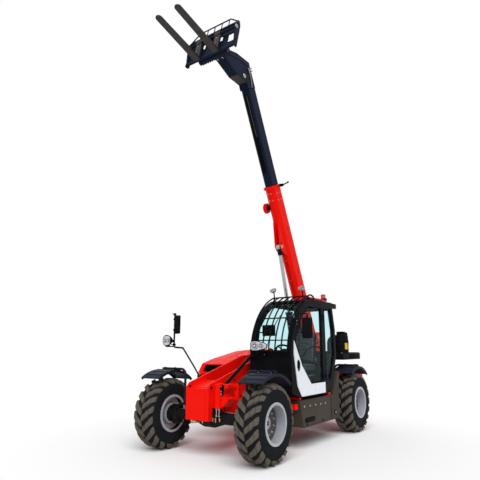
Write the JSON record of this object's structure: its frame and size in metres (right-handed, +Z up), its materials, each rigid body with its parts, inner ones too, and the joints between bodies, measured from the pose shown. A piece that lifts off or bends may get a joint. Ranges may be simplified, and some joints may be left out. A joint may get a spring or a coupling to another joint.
{
  "type": "telehandler",
  "caption": "Telescopic handler with a raised two-section boom and fork carriage, side cab with bar guard, side engine bay, four steered wheels and opening door and hood",
  "frame": {"origin": "on the ground, midway between the axles on the machine's centre plane", "axes": "X forward, Y to the machine's left, Z up"},
  "size_m": [5.4995, 2.6769, 7.3439],
  "materials": {
    "red_paint": "gloss paint",
    "white_paint": "gloss paint",
    "black_paint": "satin paint",
    "boom_paint": "gloss blue-black paint",
    "cast": "painted casting",
    "tyre": "deep tread rubber",
    "rim_paint": "silver paint",
    "fork_steel": "forged steel, worn",
    "rod_chrome": "hard chrome",
    "glass": "tinted safety glass",
    "black_plastic": "moulded plastic",
    "engine_metal": "plain casting",
    "seat_cover": "vinyl"
  },
  "bodies": {
    "chassis": {"main_frame": "red_paint", "front_axle": "cast", "rear_axle": "cast", "counterweight": "red_paint", "side_tank": "black_paint", "engine_bay": "red_paint", "engine_block": "engine_metal", "cab_shell": "black_paint", "cab_glass": "glass", "guard_grille": "black_paint", "seat": "seat_cover", "steering_column": "black_plastic", "mirrors": "black_plastic", "lamps": "black_plastic", "air_cleaner": "black_plastic"},
    "hood": {"engine_hood": "red_paint"},
    "door": {"cab_door": "black_paint", "door_panel": "white_paint", "door_glass": "glass"},
    "outer_boom": {"boom_outer": "red_paint"},
    "inner_boom": {"boom_inner": "boom_paint", "boom_head": "boom_paint"},
    "carriage": {"fork_carriage": "boom_paint"},
    "left_fork": {"fork_left": "fork_steel"},
    "right_fork": {"fork_right": "fork_steel"},
    "lift_cylinder_barrel": {"lift_barrel": "black_paint"},
    "lift_cylinder_rod": {"lift_rod": "rod_chrome"},
    "tilt_cylinder_barrel": {"tilt_barrel": "black_paint"},
    "tilt_cylinder_rod": {"tilt_rod": "rod_chrome"},
    "steer_front_left": {"knuckle_front_left": "cast", "fender_front_left": "black_plastic"},
    "wheel_front_left": {"tyre_front_left": "tyre", "rim_front_left": "rim_paint"},
    "steer_front_right": {"knuckle_front_right": "cast", "fender_front_right": "black_plastic"},
    "wheel_front_right": {"tyre_front_right": "tyre", "rim_front_right": "rim_paint"},
    "steer_rear_left": {"knuckle_rear_left": "cast", "fender_rear_left": "black_plastic"},
    "wheel_rear_left": {"tyre_rear_left": "tyre", "rim_rear_left": "rim_paint"},
    "steer_rear_right": {"knuckle_rear_right": "cast", "fender_rear_right": "black_plastic"},
    "wheel_rear_right": {"tyre_rear_right": "tyre", "rim_rear_right": "rim_paint"}
  },
  "joints": [
    {"name": "boom_lift", "type": "hinge", "parent": "chassis", "child": "outer_boom", "pos_m": [-1.911, -0.08, 1.75], "axis": [0, -1, 0], "range_deg": [-72, 3.7]},
    {"name": "boom_telescope", "type": "slide", "parent": "outer_boom", "child": "inner_boom", "axis": [0.4337, 0, 0.9011], "range_m": [-1.75, 0]},
    {"name": "fork_tilt", "type": "hinge", "parent": "inner_boom", "child": "carriage", "pos_m": [1.50925, -0.08, 6.87362], "axis": [0, 1, 0], "range_deg": [-68, 56]},
    {"name": "left_fork_slide", "type": "slide", "parent": "carriage", "child": "left_fork", "axis": [0, 1, 0], "range_m": [-0.07, 0.3]},
    {"name": "right_fork_slide", "type": "slide", "parent": "carriage", "child": "right_fork", "axis": [0, 1, 0], "range_m": [-0.18, 0.19]},
    {"name": "lift_barrel_pivot", "type": "hinge", "parent": "chassis", "child": "lift_cylinder_barrel", "pos_m": [-1.4, -0.08, 0.95], "axis": [0, -1, 0], "range_deg": [-64.2, 3.4]},
    {"name": "lift_rod_slide", "type": "slide", "parent": "lift_cylinder_barrel", "child": "lift_cylinder_rod", "axis": [0.2595, 0, 0.9657], "range_m": [-1.151, 0.06]},
    {"name": "tilt_barrel_pivot", "type": "hinge", "parent": "inner_boom", "child": "tilt_cylinder_barrel", "pos_m": [0.69703, -0.08, 6.75402], "axis": [0, 1, 0], "range_deg": [-3.5, 2.9]},
    {"name": "tilt_rod_slide", "type": "slide", "parent": "tilt_cylinder_barrel", "child": "tilt_cylinder_rod", "axis": [0.9389, 0, 0.3441], "range_m": [-0.185, 0.153]},
    {"name": "steer_front_left", "type": "hinge", "parent": "chassis", "child": "steer_front_left", "pos_m": [1.575, 0.715, 0.535], "axis": [0, 0, 1], "range_deg": [-35, 35]},
    {"name": "spin_front_left", "type": "hinge", "parent": "steer_front_left", "child": "wheel_front_left", "pos_m": [1.575, 0.955, 0.535], "axis": [0, 1, 0], "continuous": true},
    {"name": "steer_front_right", "type": "hinge", "parent": "chassis", "child": "steer_front_right", "pos_m": [1.575, -0.715, 0.535], "axis": [0, 0, 1], "range_deg": [-35, 35]},
    {"name": "spin_front_right", "type": "hinge", "parent": "steer_front_right", "child": "wheel_front_right", "pos_m": [1.575, -0.955, 0.535], "axis": [0, 1, 0], "continuous": true},
    {"name": "steer_rear_left", "type": "hinge", "parent": "chassis", "child": "steer_rear_left", "pos_m": [-1.575, 0.715, 0.535], "axis": [0, 0, 1], "range_deg": [-35, 35]},
    {"name": "spin_rear_left", "type": "hinge", "parent": "steer_rear_left", "child": "wheel_rear_left", "pos_m": [-1.575, 0.955, 0.535], "axis": [0, 1, 0], "continuous": true},
    {"name": "steer_rear_right", "type": "hinge", "parent": "chassis", "child": "steer_rear_right", "pos_m": [-1.575, -0.715, 0.535], "axis": [0, 0, 1], "range_deg": [-35, 35]},
    {"name": "spin_rear_right", "type": "hinge", "parent": "steer_rear_right", "child": "wheel_rear_right", "pos_m": [-1.575, -0.955, 0.535], "axis": [0, 1, 0], "continuous": true},
    {"name": "cab_door_hinge", "type": "hinge", "parent": "chassis", "child": "door", "pos_m": [-0.285, 1.04, 1.5], "axis": [0, 0, 1], "range_deg": [0, 90]},
    {"name": "hood_hinge", "type": "hinge", "parent": "chassis", "child": "hood", "pos_m": [0, -0.338, 1.53], "axis": [-1, 0, 0], "range_deg": [0, 70]}
  ],
  "couplings": [
    {"joint": "lift_barrel_pivot", "follows": "boom_lift", "ratio": 0.89},
    {"joint": "lift_rod_slide", "follows": "boom_lift", "m_per_rad": 0.915},
    {"joint": "tilt_barrel_pivot", "follows": "fork_tilt", "ratio": 0.05},
    {"joint": "tilt_rod_slide", "follows": "fork_tilt", "m_per_rad": 0.155},
    {"joint": "steer_front_right", "follows": "steer_front_left", "ratio": 1},
    {"joint": "steer_rear_right", "follows": "steer_rear_left", "ratio": 1}
  ]
}
